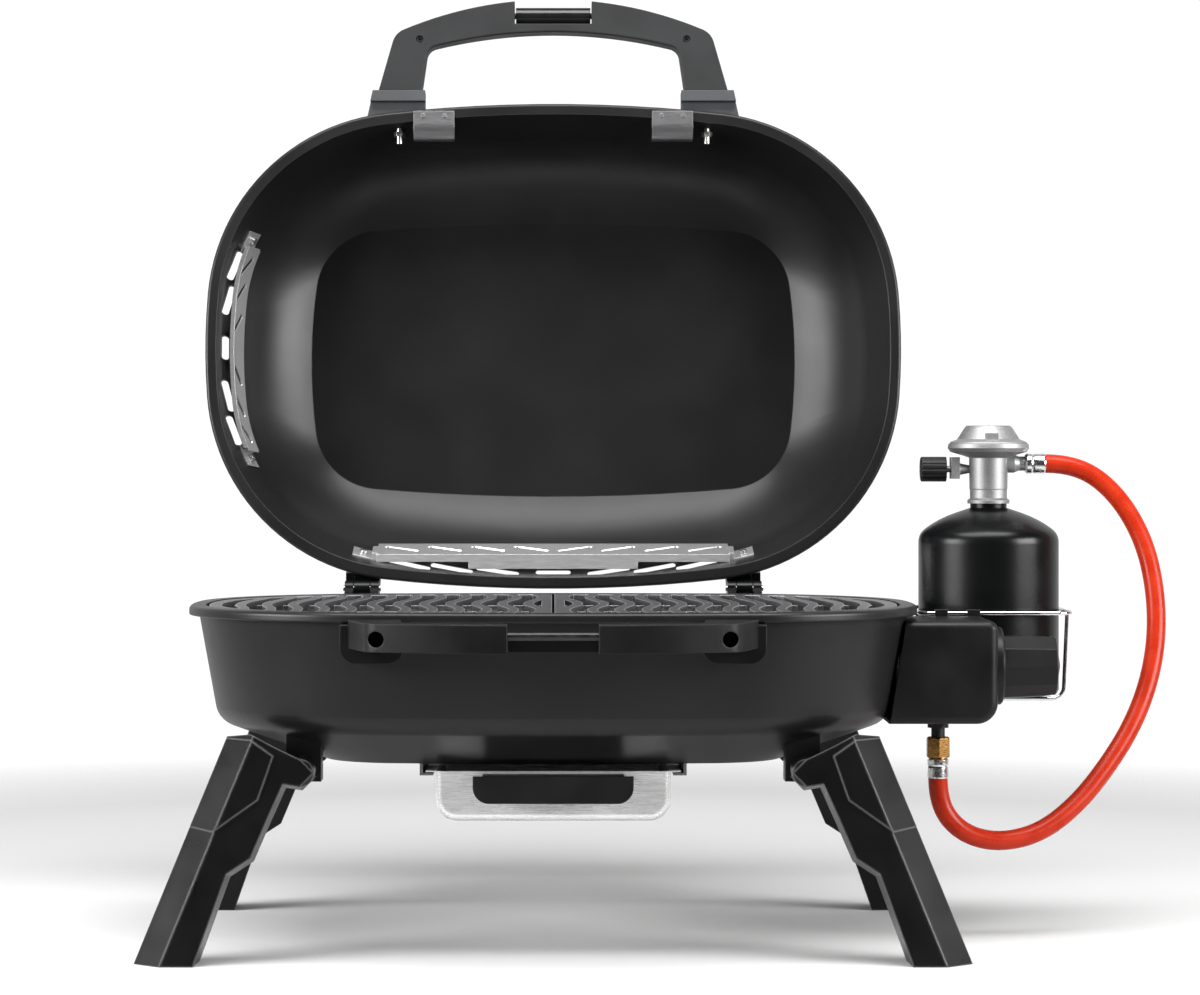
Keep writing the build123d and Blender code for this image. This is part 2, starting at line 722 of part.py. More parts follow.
with BuildPart() as lid_clips:
    for side in (-1, 1):
        with BuildSketch(opened(Plane.YZ.offset(side * 99 - 17))):
            with BuildLine():
                Polyline((-195, LID_RIM_Z), (-195, LID_RIM_Z - 1.2), (-184, LID_RIM_Z - 1.2))
                ThreePointArc((-184, LID_RIM_Z - 1.2), (-175.5, LID_RIM_Z + 2), (-171, LID_RIM_Z + 10))
                Line((-171, LID_RIM_Z + 10), (-172.2, LID_RIM_Z + 10.4))
                ThreePointArc((-172.2, LID_RIM_Z + 10.4), (-176.4, LID_RIM_Z + 2.9), (-184.3, LID_RIM_Z))
                Line((-184.3, LID_RIM_Z), (-195, LID_RIM_Z))
            make_face()
        extrude(amount=34)
        with BuildSketch(opened(Plane.XY.offset(LID_RIM_Z - 1.7))):
            with Locations((side * 99 - 9, -191), (side * 99 + 9, -191)):
                Circle(1.8)
        extrude(amount=0.8)
finished(lid_clips, "lid_clips")

# ---- vent baffles ----
PLATE = 1.2
BAFFLE_GAP = 5.0
lid_tab_line = lid_form(-PLATE, 0)
baffle_outer = lid_form(-BAFFLE_GAP, 0)
baffle_inner = lid_form(-BAFFLE_GAP - PLATE, 0)


def lid_block(low, high):
    """A box between two corners given on the closed lid as x, y and depth inside the rim."""
    middle = [(a + b) / 2 for a, b in zip(low, high)]
    size = [b - a for a, b in zip(low, high)]
    with BuildPart() as block:
        with BuildSketch(opened(Plane.XY.offset(LID_RIM_Z + low[2]))):
            with Locations((middle[0], middle[1])):
                Rectangle(size[0], size[1])
        extrude(amount=size[2])
    return block.part


def slots(plane, height, places, length, width, slant):
    """Slanted slots in a plate, mirrored about the middle, as a cutter."""
    with BuildPart() as cutter:
        with BuildSketch(opened(plane)):
            for place in places:
                for side in (-1, 1):
                    with Locations((side * place, LID_RIM_Z + height)):
                        SlotOverall(length, width, rotation=side * slant)
        extrude(amount=25)
    return cutter.part


with BuildPart() as back_baffle:
    low_edge = LID_RIM_Z + 17
    with BuildSketch(opened(Plane.YZ.offset(-146))):
        Polygon(
            (173.6, low_edge + 1.2), (162.1, low_edge + 43), (160.9, low_edge + 42.7),
            (172.4, low_edge), (178.6, low_edge), (178.6, low_edge + 1.2), align=None,
        )
    extrude(amount=292)
    add(lid_block((-70, 177, 17), (70, 184.4, 18.2)))
    for side in (-1, 1):
        with BuildSketch(opened(Plane.YZ.offset(side * 147.5 - 2.5))):
            Polygon(
                (190, low_edge + 3), (184, low_edge + 29), (163.9, low_edge + 28.5), (171, low_edge + 2.5),
                align=None,
            )
        extrude(amount=5)
        tab_x = sorted((side * 149, side * 166))
        add((lid_inside - lid_tab_line) & lid_block((tab_x[0], 100, 20), (tab_x[1], 190, 46)))
    add(slots(Plane.XZ.offset(-185), 39, (18, 54, 90, 126), 34, 6, 32), mode=Mode.SUBTRACT)
    add(lid_inside, mode=Mode.INTERSECT)
finished(back_baffle, "vent_baffle_back")

with BuildPart() as side_baffle:
    add((baffle_outer - baffle_inner) & lid_block((-290, -84, 18), (-150, 84, 48)))
    add((baffle_outer - lid_form(-BAFFLE_GAP - 3.5, 0)) & lid_block((-290, -84, 18), (-150, 84, 19.2)))
    for side in (-1, 1):
        web = sorted((side * 81, side * 85.5))
        tab = sorted((side * 84.5, side * 98))
        add((lid_inside - baffle_inner) & lid_block((-290, web[0], 25), (-150, web[1], 46)))
        add((lid_inside - lid_tab_line) & lid_block((-290, tab[0], 25), (-150, tab[1], 46)))
    add(slots(Plane.YZ.offset(-272), 33, (22, 48, 70), 22, 4.5, 45), mode=Mode.SUBTRACT)
finished(side_baffle, "vent_baffle_side")


def baffle_screw(x, y, depth, outward):
    """A flat screw head on a tab: outward points into the lid's wall."""
    head = Plane(origin=(x, y, LID_RIM_Z + depth), z_dir=(*outward, 0.27))
    with BuildPart() as screw:
        with BuildSketch(opened(head.offset(-4.2))):
            Circle(3.2)
        extrude(amount=5)
        add(lid_tab_line, mode=Mode.INTERSECT)
    return screw.part


with BuildPart() as baffle_screws:
    for side in (-1, 1):
        add(baffle_screw(side * 158, 171.7, 33, (side * 0.243, 0.97)))
        add(baffle_screw(-252.9, side * 92, 36, (-0.901, side * 0.434)))
finished(baffle_screws, "vent_baffle_screws")

# ---- control box, valve and knob ----
BOX_FRONT_Y = -72.0
BOX_DEPTH = 86.0
BOX_RIGHT = 334.0
BOX_TOP = 244.0
BOX_BOTTOM = 166.5
with BuildPart() as control_box:
    with BuildSketch(Plane.XZ.offset(-BOX_FRONT_Y)) as side_view:
        box_side = [(252.5, BOX_BOTTOM), (BOX_RIGHT, BOX_BOTTOM), (BOX_RIGHT, BOX_TOP), (265, BOX_TOP)]
        Polygon(*box_side, align=None)
        fillet(side_view.vertices().sort_by(Axis.X)[-2:].sort_by(Axis.Y)[0], 16)
        fillet(side_view.vertices().sort_by(Axis.Y)[-2:].sort_by(Axis.X)[-1], 7)
    extrude(amount=-BOX_DEPTH)
    slanted = control_box.faces().sort_by(Axis.X)[0]
    fillet(control_box.faces().sort_by(Axis.Y)[0].edges() - slanted.edges(), 6)
    offset(amount=-2.5, openings=control_box.faces().sort_by(Axis.X)[0])
    add(bar((325, VALVE_Y, VALVE_Z), (340, VALVE_Y, VALVE_Z), 10.5), mode=Mode.SUBTRACT)
    add(bar((INLET_X, VALVE_Y, 160), (INLET_X, VALVE_Y, 175), 6.4), mode=Mode.SUBTRACT)
    add(firebox_outside, mode=Mode.SUBTRACT)
finished(control_box, "control_box")

with BuildPart() as box_bracket:
    with BuildSketch(Plane.XZ.offset(66)):
        Polygon((260.3, 190), (265.3, 190), (272.6, 237), (268.9, 237), align=None)
    extrude(amount=-72)
    add(bar((250, VALVE_Y, VALVE_Z), (290, VALVE_Y, VALVE_Z), TUBE_RADIUS + 0.4), mode=Mode.SUBTRACT)
finished(box_bracket, "control_box_bracket")

VALVE_AXIS = along_x(VALVE_Y, VALVE_Z)
knob_collar = turned([(24.8, 334), (29.5, 334), (29.5, 340), (28.3, 341.3), (24.8, 341.3)], VALVE_AXIS)
finished(knob_collar, "knob_collar")

with BuildPart() as knob:
    with BuildSketch(Plane.YZ.offset(BOX_RIGHT + 3.6)):
        with Locations((VALVE_Y, VALVE_Z)):
            RegularPolygon(24, 10)
    extrude(amount=48, taper=1.5)
    dome = turned([(0, 300), (24.2, 300), (24.2, 376), (22.6, 381.5), (0, 386)], VALVE_AXIS)
    add(dome.part, mode=Mode.INTERSECT)
    add(bar((330, VALVE_Y, VALVE_Z), (350, VALVE_Y, VALVE_Z), 4.05), mode=Mode.SUBTRACT)
finished(knob, "burner_knob")

with BuildPart() as valve_stem:
    add(bar((315, VALVE_Y, VALVE_Z), (349.5, VALVE_Y, VALVE_Z), 4))
finished(valve_stem, "valve_stem")

stem_washer = turned([(4.06, 328.4), (9, 328.4), (9, 330.4), (4.06, 330.4)], VALVE_AXIS)
finished(stem_washer, "stem_washer")

VALVE_BODY = [
    (0, 277), (2, 277), (3, 279), (3, 285), (9, 285), (9, 314),
    (7, 316), (7, 324), (0, 324),
]
with BuildPart() as valve_body:
    add(turned(VALVE_BODY, VALVE_AXIS).part)
    add(bar((INLET_X, VALVE_Y, 172.1), (INLET_X, VALVE_Y, VALVE_Z), 6))
    add(bar((311, VALVE_Y, VALVE_Z), (325, VALVE_Y, VALVE_Z), 4.06), mode=Mode.SUBTRACT)
finished(valve_body, "valve_body")

inlet_stub = turned(
    [(0, 154), (5.2, 154), (5.2, 161), (8, 161), (8, 165.8), (6, 166.2), (6, 172), (0, 172)],
    upright(INLET_X, VALVE_Y),
)
finished(inlet_stub, "gas_inlet")

# ---- gas cartridge and its cradle ----
CARTRIDGE_AXIS = upright(CARTRIDGE_X, CARTRIDGE_Y)
CAVITY = [(0, 188), (53.6, 188), (53.6, 299), (47.5, 309), (35, 316.6), (12, 322), (0, 322)]
with BuildPart() as cartridge:
    with BuildSketch(CARTRIDGE_AXIS):
        with BuildLine():
            Polyline((55, 299), (55, 184), (53.5, 181), (50, CARTRIDGE_BOTTOM), (46, 183), (0, 186))
            Polyline((0, 186), (0, NECK_Z), (14.3, NECK_Z), (14.3, 326.6), (18.5, 325.2))
            Spline((18.5, 325.2), (36, 318.5), (48.5, 311), (55, 299), tangents=((1, -0.33), (0, -1)))
        make_face()
    revolve(axis=Axis((CARTRIDGE_X, CARTRIDGE_Y, 0), (0, 0, 1)))
    add(turned(CAVITY, CARTRIDGE_AXIS).part, mode=Mode.SUBTRACT)
finished(cartridge, "gas_cartridge")

WIRE_RADIUS = 1.6
CRADLE_TOP = 246.0


def wire(points, bend, closed, radius):
    """A bent wire through points, with round bends."""
    with BuildPart() as strand:
        with BuildLine() as path:
            FilletPolyline(*points, radius=bend, close=closed)
        run = path.wires()[0]
        with BuildSketch(Plane(origin=run @ 0, z_dir=run % 0)):
            Circle(radius)
        sweep(path=run)
    return strand.part


with BuildPart() as cradle:
    ring = [(284, 17, CRADLE_TOP), (401, 17, CRADLE_TOP), (401, 133, CRADLE_TOP), (284, 133, CRADLE_TOP)]
    add(wire(ring, 12, True, WIRE_RADIUS))
    for hoop_y in (45, 105):
        hoop = [(401, CRADLE_TOP), (398, 178.2), (289, 178.2), (284, CRADLE_TOP)]
        add(wire([(x, hoop_y, z) for x, z in hoop], 9, False, WIRE_RADIUS - 0.1))
finished(cradle, "cartridge_cradle")

with BuildPart() as cradle_clips:
    with Locations((300, 17, 240.5), (325, 17, 240.5)):
        Box(10, 5.6, 17)
    add(bar((280, 17, CRADLE_TOP), (340, 17, CRADLE_TOP), WIRE_RADIUS + 0.05), mode=Mode.SUBTRACT)
finished(cradle_clips, "cradle_clips")

# ---- regulator ----
ARM_Z = 357.0
ARM_AXIS = Plane(origin=(CARTRIDGE_X, CARTRIDGE_Y, ARM_Z), x_dir=(0, 0, 1), z_dir=(0, -1, 0))
OUTLET_AXIS = Plane(origin=(CARTRIDGE_X, CARTRIDGE_Y, OUTLET_Z), x_dir=(0, 0, 1), z_dir=(0, 1, 0))
BELL = [
    (0, NECK_Z), (16.4, NECK_Z), (16.6, 332.6), (14.5, 334.2), (14.6, 341),
    (14.9, 341.5), (15.2, 366), (21, 368), (30, 370.6), (32, 373.6),
    (31.4, 377), (27, 377), (27, 372.5), (0, 372.5),
]
CAP = [
    (30.6, 377), (30, 378.4), (24.6, 380.6), (18.8, 389.6), (17.2, 391.3),
    (0, 391.6), (0, 388), (15.5, 388), (21, 380), (25, 377),
]
DIAPHRAGM = [(0, 375.2), (26.8, 375.2), (26.8, 376.6), (9, 376.6), (7, 375.9), (0, 375.9)]
with BuildPart() as regulator_body:
    add(turned(BELL, CARTRIDGE_AXIS).part)
    add(turned([(0, 30), (5.5, 30), (5.5, 24), (4.5, 22), (0, 0)], ARM_AXIS).part)
    with Locations((CARTRIDGE_X - 26.5, CARTRIDGE_Y, ARM_Z + 1)):
        Box(7, 13, 17)
    add(bar((CARTRIDGE_X - 42, CARTRIDGE_Y, ARM_Z), (CARTRIDGE_X - 28, CARTRIDGE_Y, ARM_Z), 2.5))
    add(turned([(0, 0), (7.5, 0), (7.2, 20), (5.6, 24), (5.6, 28.5), (0, 28.5)], OUTLET_AXIS).part)
    add(bar((CARTRIDGE_X, CARTRIDGE_Y, 372.5), (CARTRIDGE_X, CARTRIDGE_Y, 377), 27), mode=Mode.SUBTRACT)
finished(regulator_body, "regulator_body")

finished(turned(DIAPHRAGM, CARTRIDGE_AXIS), "regulator_diaphragm")

with BuildPart() as regulator_cap:
    add(turned(CAP, CARTRIDGE_AXIS).part)
    with BuildSketch(Plane.XZ.offset(26 - CARTRIDGE_Y)):
        with Locations((CARTRIDGE_X, 382)):
            Rectangle(10, 7)
    extrude(amount=-4)
finished(regulator_cap, "regulator_cap")

with BuildPart() as regulator_knob:
    with BuildSketch(Plane.YZ.offset(289.5)):
        with Locations((CARTRIDGE_Y, ARM_Z)):
            Circle(9.8)
            with PolarLocations(10.1, 14):
                Circle(0.9, mode=Mode.SUBTRACT)
    extrude(amount=20)
    chamfer(regulator_knob.faces().sort_by(Axis.X)[0].edges(), 0.8)
    add(bar((299, CARTRIDGE_Y, ARM_Z), (315, CARTRIDGE_Y, ARM_Z), 2.56), mode=Mode.SUBTRACT)
finished(regulator_knob, "regulator_knob")


# ---- hose and fittings ----
def ferrule(plane, start, length):
    """A crimped sleeve about the plane's y axis."""
    steps = [
        (0, 0), (6.4, 0), (7.9, 1.4), (7.9, 5), (7.2, 6.2), (7.7, 7.4),
        (7.9, length - 1), (7.5, length), (0, length),
    ]
    return turned([(radius, start + height) for radius, height in steps], plane)


OUTLET_END = CARTRIDGE_X + 28.5
ferrule_top = ferrule(along_x(CARTRIDGE_Y, OUTLET_Z), OUTLET_END, HOSE_ROUTE[0][0] - OUTLET_END)
finished(ferrule_top, "hose_ferrule_top")

NUT_BOTTOM = 138.0
HOSE_END = HOSE_ROUTE[-1][2]
with BuildPart() as hose_nut:
    with BuildSketch(Plane.XY.offset(NUT_BOTTOM)):
        with Locations((INLET_X, VALVE_Y)):
            RegularPolygon(9.6, 6, rotation=30)
    extrude(amount=16)
    rounded = [(0, 130), (7.6, 138), (9.7, 139.6), (9.7, 152.4), (7.6, 154), (0, 160)]
    add(turned(rounded, upright(INLET_X, VALVE_Y)).part, mode=Mode.INTERSECT)
finished(hose_nut, "hose_nut")

fitting = Plane(origin=(INLET_X, VALVE_Y, NUT_BOTTOM), x_dir=(1, 0, 0), z_dir=(0, 1, 0))
ferrule_bottom = ferrule(fitting, 0, NUT_BOTTOM - HOSE_END)
finished(ferrule_bottom, "hose_ferrule_bottom")


def bend_radii(points):
    """The bend at each inner point: 0.45 of its shorter run over the tangent of half the turn."""
    radii = []
    for before, here, after in zip(points, points[1:], points[2:]):
        run_in = Vector(*here) - Vector(*before)
        run_out = Vector(*after) - Vector(*here)
        half_turn = math.radians(run_in.get_angle(run_out)) / 2
        radii.append(0.45 * min(run_in.length, run_out.length) / math.tan(half_turn))
    return radii


HOSE_BENDS = bend_radii(HOSE_ROUTE)
with BuildPart() as hose:
    with BuildLine() as hose_path:
        FilletPolyline(*HOSE_ROUTE, radius=HOSE_BENDS)
    with BuildSketch(Plane(origin=HOSE_ROUTE[0], z_dir=(1, 0, 0))):
        Circle(HOSE_RADIUS)
    sweep(path=hose_path.line)
finished(hose, "gas_hose")
hose_length = hose_path.wires()[0].length
hose_volume = math.pi * HOSE_RADIUS**2 * hose_length
print("hose bends", [round(radius) for radius in HOSE_BENDS])
print("hose length", round(hose_length, 1), "volume ratio", hose.part.volume / hose_volume)

# ---- into the common frame ----
ON_HOSE = ("gas_hose", "hose_ferrule_top", "hose_ferrule_bottom", "hose_nut")
body_pieces = [piece.moved(Location()) for piece in pieces if piece.label not in ON_HOSE]
body_box = Compound(children=body_pieces).bounding_box()
FOOTPRINT_X = 49.28
FOOTPRINT_Y = 27.6
TO_ORIGIN = Location((-FOOTPRINT_X, -FOOTPRINT_Y, 0))
print("footprint middle", (body_box.min + body_box.max) / 2, "size", body_box.size)
for piece in pieces:
    placed = piece.moved(TO_ORIGIN)
    placed.label = piece.label
    export_step(placed, f"parts/{piece.label}.step")
print(len(pieces), "pieces")
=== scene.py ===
import json
import math

import bmesh
import bpy
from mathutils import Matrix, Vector


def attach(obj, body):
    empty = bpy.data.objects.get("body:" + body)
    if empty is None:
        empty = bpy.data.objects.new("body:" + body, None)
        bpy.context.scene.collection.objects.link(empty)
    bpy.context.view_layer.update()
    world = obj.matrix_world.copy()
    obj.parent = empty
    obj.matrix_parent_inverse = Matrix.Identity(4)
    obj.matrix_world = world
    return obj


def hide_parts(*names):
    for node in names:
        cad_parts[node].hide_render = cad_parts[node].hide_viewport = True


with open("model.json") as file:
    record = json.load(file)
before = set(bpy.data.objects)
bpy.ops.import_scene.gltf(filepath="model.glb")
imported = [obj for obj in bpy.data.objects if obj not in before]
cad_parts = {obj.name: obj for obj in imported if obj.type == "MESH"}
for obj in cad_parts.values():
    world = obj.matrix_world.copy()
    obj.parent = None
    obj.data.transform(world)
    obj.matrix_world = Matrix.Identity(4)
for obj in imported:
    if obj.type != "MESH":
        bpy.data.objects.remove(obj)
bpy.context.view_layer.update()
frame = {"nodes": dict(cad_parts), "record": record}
nodes = frame["nodes"]

# the middle of the bowl, in the frame whose origin is under the middle of the footprint
BOWL_X = -0.04928
BOWL_Y = -0.0276


def at(x, y, z):
    """A point given in millimetres about the middle of the bowl, in the frame."""
    return Vector((x / 1000 + BOWL_X, y / 1000 + BOWL_Y, z / 1000))


# ---- camera: level, square to the front, and shifted instead of turned ----
CAMERA_DISTANCE = 2920
CAMERA_HEIGHT = 376
camera = bpy.data.objects.new("camera", bpy.data.cameras.new("camera"))
bpy.context.scene.collection.objects.link(camera)
camera.location = at(0, -CAMERA_DISTANCE, CAMERA_HEIGHT)
camera.rotation_euler = (math.radians(90), 0, 0)
camera.data.sensor_width = 36
camera.data.lens = 114
camera.data.shift_x = 0.039
camera.data.shift_y = -0.0437
camera.data.clip_end = 50
bpy.context.scene.camera = camera

# ---- hose ----
HOSE_DIAMETER = 0.0148
HOSE_ROUTE = [
    (387.5, 75, 361.4),
    (403, 75, 361.4),
    (427, 74, 352.5),
    (449, 70, 330),
    (465, 64, 298),
    (471.5, 55, 262),
    (471, 45, 226),
    (463, 34, 191),
    (448, 22, 158),
    (427, 10, 128),
    (403, -2, 101),
    (374, -13, 80),
    (343.5, -21, 73),
    (318, -25.5, 77.5),
    (300.5, -27, 91),
    (293, -27, 109.5),
    (293, -27, 122.5),
]
hose_curve = bpy.data.curves.new("hose", "CURVE")
hose_curve.dimensions = "3D"
spline = hose_curve.splines.new("NURBS")
spline.points.add(len(HOSE_ROUTE) - 1)
for point, place in zip(spline.points, HOSE_ROUTE):
    point.co = (*at(*place), 1)
    # the bevel below is 1 deep, so that a point's radius is the hose's radius
    point.radius = HOSE_DIAMETER / 2
spline.order_u = 3
spline.use_endpoint_u = True
hose_curve.resolution_u = 16
hose_curve.bevel_depth = 1
hose_curve.bevel_resolution = 10
hose_curve.use_fill_caps = True
hose = bpy.data.objects.new("hose", hose_curve)
bpy.context.scene.collection.objects.link(hose)
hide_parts("gas_hose")
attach(hose, "frame")


# ---- materials ----
BLACK_GRAIN = 1400
FINISH = {}


def texture(mat, scale, detail=None, stretch=(1, 1, 1)):
    """Noise in the frame's own coordinates, stretched along the axes; cells when it has no detail."""
    tree = mat.node_tree
    place = tree.nodes.new("ShaderNodeTexCoord")
    mapping = tree.nodes.new("ShaderNodeMapping")
    mapping.inputs["Scale"].default_value = stretch
    cells = detail is None
    node = tree.nodes.new("ShaderNodeTexVoronoi" if cells else "ShaderNodeTexNoise")
    node.inputs["Scale"].default_value = scale
    if not cells:
        node.inputs["Detail"].default_value = detail
    tree.links.new(place.outputs["Object"], mapping.inputs["Vector"])
    tree.links.new(mapping.outputs["Vector"], node.inputs["Vector"])
    return node.outputs["Distance" if cells else "Fac"]


def spread(mat, source, low, high, start=0.3, end=0.7):
    """Maps a value from start to end onto a range."""
    node = mat.node_tree.nodes.new("ShaderNodeMapRange")
    node.inputs["From Min"].default_value = start
    node.inputs["From Max"].default_value = end
    node.inputs["To Min"].default_value = low
    node.inputs["To Max"].default_value = high
    mat.node_tree.links.new(source, node.inputs["Value"])
    return node.outputs["Result"]


def blend_tones(mat, source, dark, pale, start=0.3, end=0.7):
    """The base colour runs between two tones along a texture."""
    tree = mat.node_tree
    ramp = tree.nodes.new("ShaderNodeValToRGB")
    for element, position, tone in zip(ramp.color_ramp.elements, (start, end), (dark, pale)):
        element.position = position
        element.color = (*tone, 1)
    tree.links.new(source, ramp.inputs["Fac"])
    tree.links.new(ramp.outputs["Color"], tree.nodes["Principled BSDF"].inputs["Base Color"])


def round_edges(mat, radius, samples=4):
    """The normal of a surface whose edges have that radius."""
    node = mat.node_tree.nodes.new("ShaderNodeBevel")
    node.samples = samples
    node.inputs["Radius"].default_value = radius
    return node.outputs["Normal"]


def paint_edge_highlight(mat, radius, color, bend=0.12):
    """Painted highlight: the base colour turns to a paler one where the surface bends sharply, so
    that the edges seem to catch the light.
    """
    tree = mat.node_tree
    hard = tree.nodes.new("ShaderNodeNewGeometry")
    agree = tree.nodes.new("ShaderNodeVectorMath")
    agree.operation = "DOT_PRODUCT"
    tree.links.new(round_edges(mat, radius, samples=6), agree.inputs[0])
    tree.links.new(hard.outputs["Normal"], agree.inputs[1])
    mix = tree.nodes.new("ShaderNodeMix")
    mix.data_type = "RGBA"
    mix.inputs["B"].default_value = (*color, 1)
    base = tree.nodes["Principled BSDF"].inputs["Base Color"]
    tree.links.new(base.links[0].from_socket, mix.inputs["A"])
    amount = spread(mat, agree.outputs["Value"], 1, 0, 1 - bend, 0.998)
    tree.links.new(amount, mix.inputs["Factor"])
    tree.links.new(mix.outputs["Result"], base)


def bump(mat, source, strength, height):
    """Adds a height to the surface, over its rounded edges."""
    tree = mat.node_tree
    normal = tree.nodes["Principled BSDF"].inputs["Normal"]
    node = tree.nodes.new("ShaderNodeBump")
    node.inputs["Strength"].default_value = strength
    node.inputs["Distance"].default_value = height
    tree.links.new(source, node.inputs["Height"])
    if normal.links:
        tree.links.new(normal.links[0].from_socket, node.inputs["Normal"])
    tree.links.new(node.outputs["Normal"], normal)


def finish(
    name, tone, rough, mottle, pale=None, metallic=0.0, gloss=0.5, edge=0.0, relief=None, grain=None
):
    """A node material for one of the record's slots, or for a few pieces of one.

    tone is the base colour, and runs to pale where one is given; rough is a number or a range.
    Both follow mottle, a texture's (scale, detail, stretch). edge is the radius that its edges
    seem to have. relief is a bump's (strength, height), on grain's texture or else on mottle's.
    """
    mat = bpy.data.materials.new(name + "_look")
    FINISH[name] = mat
    mat.use_nodes = True
    tree = mat.node_tree
    shader = tree.nodes["Principled BSDF"]
    shader.inputs["Base Color"].default_value = (*tone, 1)
    shader.inputs["Metallic"].default_value = metallic
    shader.inputs["Specular IOR Level"].default_value = gloss
    if edge:
        tree.links.new(round_edges(mat, edge), shader.inputs["Normal"])
    pattern = texture(mat, *mottle)
    if isinstance(rough, tuple):
        tree.links.new(spread(mat, pattern, *rough), shader.inputs["Roughness"])
    else:
        shader.inputs["Roughness"].default_value = rough
    if pale:
        blend_tones(mat, pattern, tone, pale)
    if relief:
        bump(mat, texture(mat, *grain) if grain else pattern, *relief)
    return mat


enamel = finish(
    "black_enamel",
    (0.0068, 0.0068, 0.0072),
    (0.33, 0.39),
    (14, 3),
    pale=(0.0092, 0.0092, 0.0096),
    gloss=0.3,
    edge=0.0012,
    relief=(0.12, 0.0002),
    grain=(900, 2),
)
# painted highlight: the enamel's sharp edges are made paler, as if they catch the light
paint_edge_highlight(enamel, 0.0011, (0.034, 0.034, 0.035))
grate_iron = finish(
    "grate_iron",
    (0.045, 0.045, 0.047),
    (0.3, 0.48),
    (700, 4),
    pale=(0.13, 0.13, 0.135),
    metallic=0.5,
    edge=0.0008,
    relief=(0.4, 0.0004),
)
# painted glints: the grate's sharp edges are made much paler, as if they catch the light
paint_edge_highlight(grate_iron, 0.0013, (0.42, 0.42, 0.43), bend=0.2)

# brushed along x
finish(
    "steel_bright",
    (0.85, 0.85, 0.85),
    (0.2, 0.36),
    (60, 3, (1, 30, 30)),
    metallic=0.5,
    edge=0.0006,
    relief=(0.06, 0.0002),
)
finish(
    "baffle_steel",
    (0.56, 0.56, 0.56),
    (0.28, 0.4),
    (90, 3, (1, 20, 20)),
    pale=(0.66, 0.66, 0.66),
    metallic=0.8,
    edge=0.0004,
)
finish(
    "steel_grey",
    (0.24, 0.24, 0.245),
    (0.36, 0.5),
    (120, 3, (1, 12, 12)),
    metallic=1.0,
    edge=0.0006,
    relief=(0.1, 0.0002),
)

# darkened and bare small metal
finish(
    "black_oxide",
    (0.022, 0.022, 0.023),
    (0.3, 0.46),
    (260, 3),
    pale=(0.04, 0.04, 0.042),
    metallic=0.6,
    edge=0.0004,
)
finish("chrome_wire", (0.8, 0.8, 0.81), (0.08, 0.18), (200, 3), metallic=1.0)
finish(
    "cast_alloy",
    (0.25, 0.25, 0.25),
    (0.45, 0.6),
    (900, 4),
    pale=(0.35, 0.35, 0.35),
    metallic=0.9,
    edge=0.0007,
    relief=(0.2, 0.0003),
)
finish(
    "zinc_steel",
    (0.52, 0.52, 0.5),
    (0.24, 0.4),
    (300, 3),
    pale=(0.6, 0.6, 0.57),
    metallic=1.0,
    edge=0.0004,
)
finish(
    "brass",
    (0.33, 0.17, 0.05),
    (0.2, 0.36),
    (300, 3, (1, 1, 12)),
    pale=(0.42, 0.23, 0.075),
    metallic=1.0,
    edge=0.0006,
    relief=(0.06, 0.0002),
)
finish("ferrule_metal", (0.72, 0.72, 0.72), (0.14, 0.3), (400, 3), metallic=1.0, edge=0.0004)

# plastics: the grain is cells, and the mottle is broad
plastic = finish(
    "black_plastic",
    (0.004, 0.0041, 0.0043),
    (0.36, 0.48),
    (25, 4),
    pale=(0.006, 0.0061, 0.0064),
    gloss=0.24,
    edge=0.0014,
    relief=(0.12, 0.0002),
    grain=(BLACK_GRAIN,),
)
# painted highlight: the black plastic's sharp edges are made paler, as if they catch the light
paint_edge_highlight(plastic, 0.001, (0.02, 0.02, 0.021))
leg_plastic = finish(
    "leg_plastic",
    (0.003, 0.003, 0.0032),
    (0.26, 0.34),
    (25, 4),
    pale=(0.0045, 0.0045, 0.0048),
    gloss=0.26,
    edge=0.003,
    relief=(0.1, 0.0002),
    grain=(BLACK_GRAIN,),
)
# painted highlight: the legs' sharp edges are made paler, as light lines along them
paint_edge_highlight(leg_plastic, 0.0016, (0.1, 0.1, 0.103), bend=0.06)
GREY_TONES = {
    "handle_plastic": ((0.038, 0.04, 0.043), (0.048, 0.05, 0.053)),
    "grip_plastic": ((0.007, 0.0074, 0.008), (0.01, 0.0106, 0.0114)),
}
for slot, (dark, pale) in GREY_TONES.items():
    finish(
        slot,
        dark,
        (0.52, 0.62),
        (30, 4),
        pale=pale,
        gloss=0.4,
        edge=0.0012,
        relief=(0.2, 0.0002),
        grain=(1300,),
    )
finish(
    "latch_plastic",
    (0.006, 0.006, 0.0065),
    (0.12, 0.22),
    (60, 3),
    pale=(0.009, 0.009, 0.0095),
    gloss=0.4,
    edge=0.0006,
)

# paint, rubber and ceramic
finish(
    "can_paint",
    (0.0016, 0.0018, 0.002),
    (0.24, 0.33),
    (20, 3),
    pale=(0.0026, 0.0028, 0.003),
    gloss=0.22,
    edge=0.0006,
    relief=(0.06, 0.0002),
    grain=(1100, 2),
)
finish(
    "orange_rubber",
    (0.34, 0.016, 0.004),
    (0.24, 0.34),
    (60, 3),
    pale=(0.4, 0.024, 0.006),
    gloss=0.16,
    relief=(0.08, 0.0002),
    grain=(900, 2),
)
finish(
    "black_rubber",
    (0.016, 0.016, 0.016),
    0.7,
    (800, 2),
    pale=(0.025, 0.025, 0.025),
    relief=(0.2, 0.0002),
)
finish(
    "ceramic",
    (0.78, 0.77, 0.72),
    0.3,
    (500, 2),
    pale=(0.84, 0.83, 0.79),
    relief=(0.05, 0.0002),
)

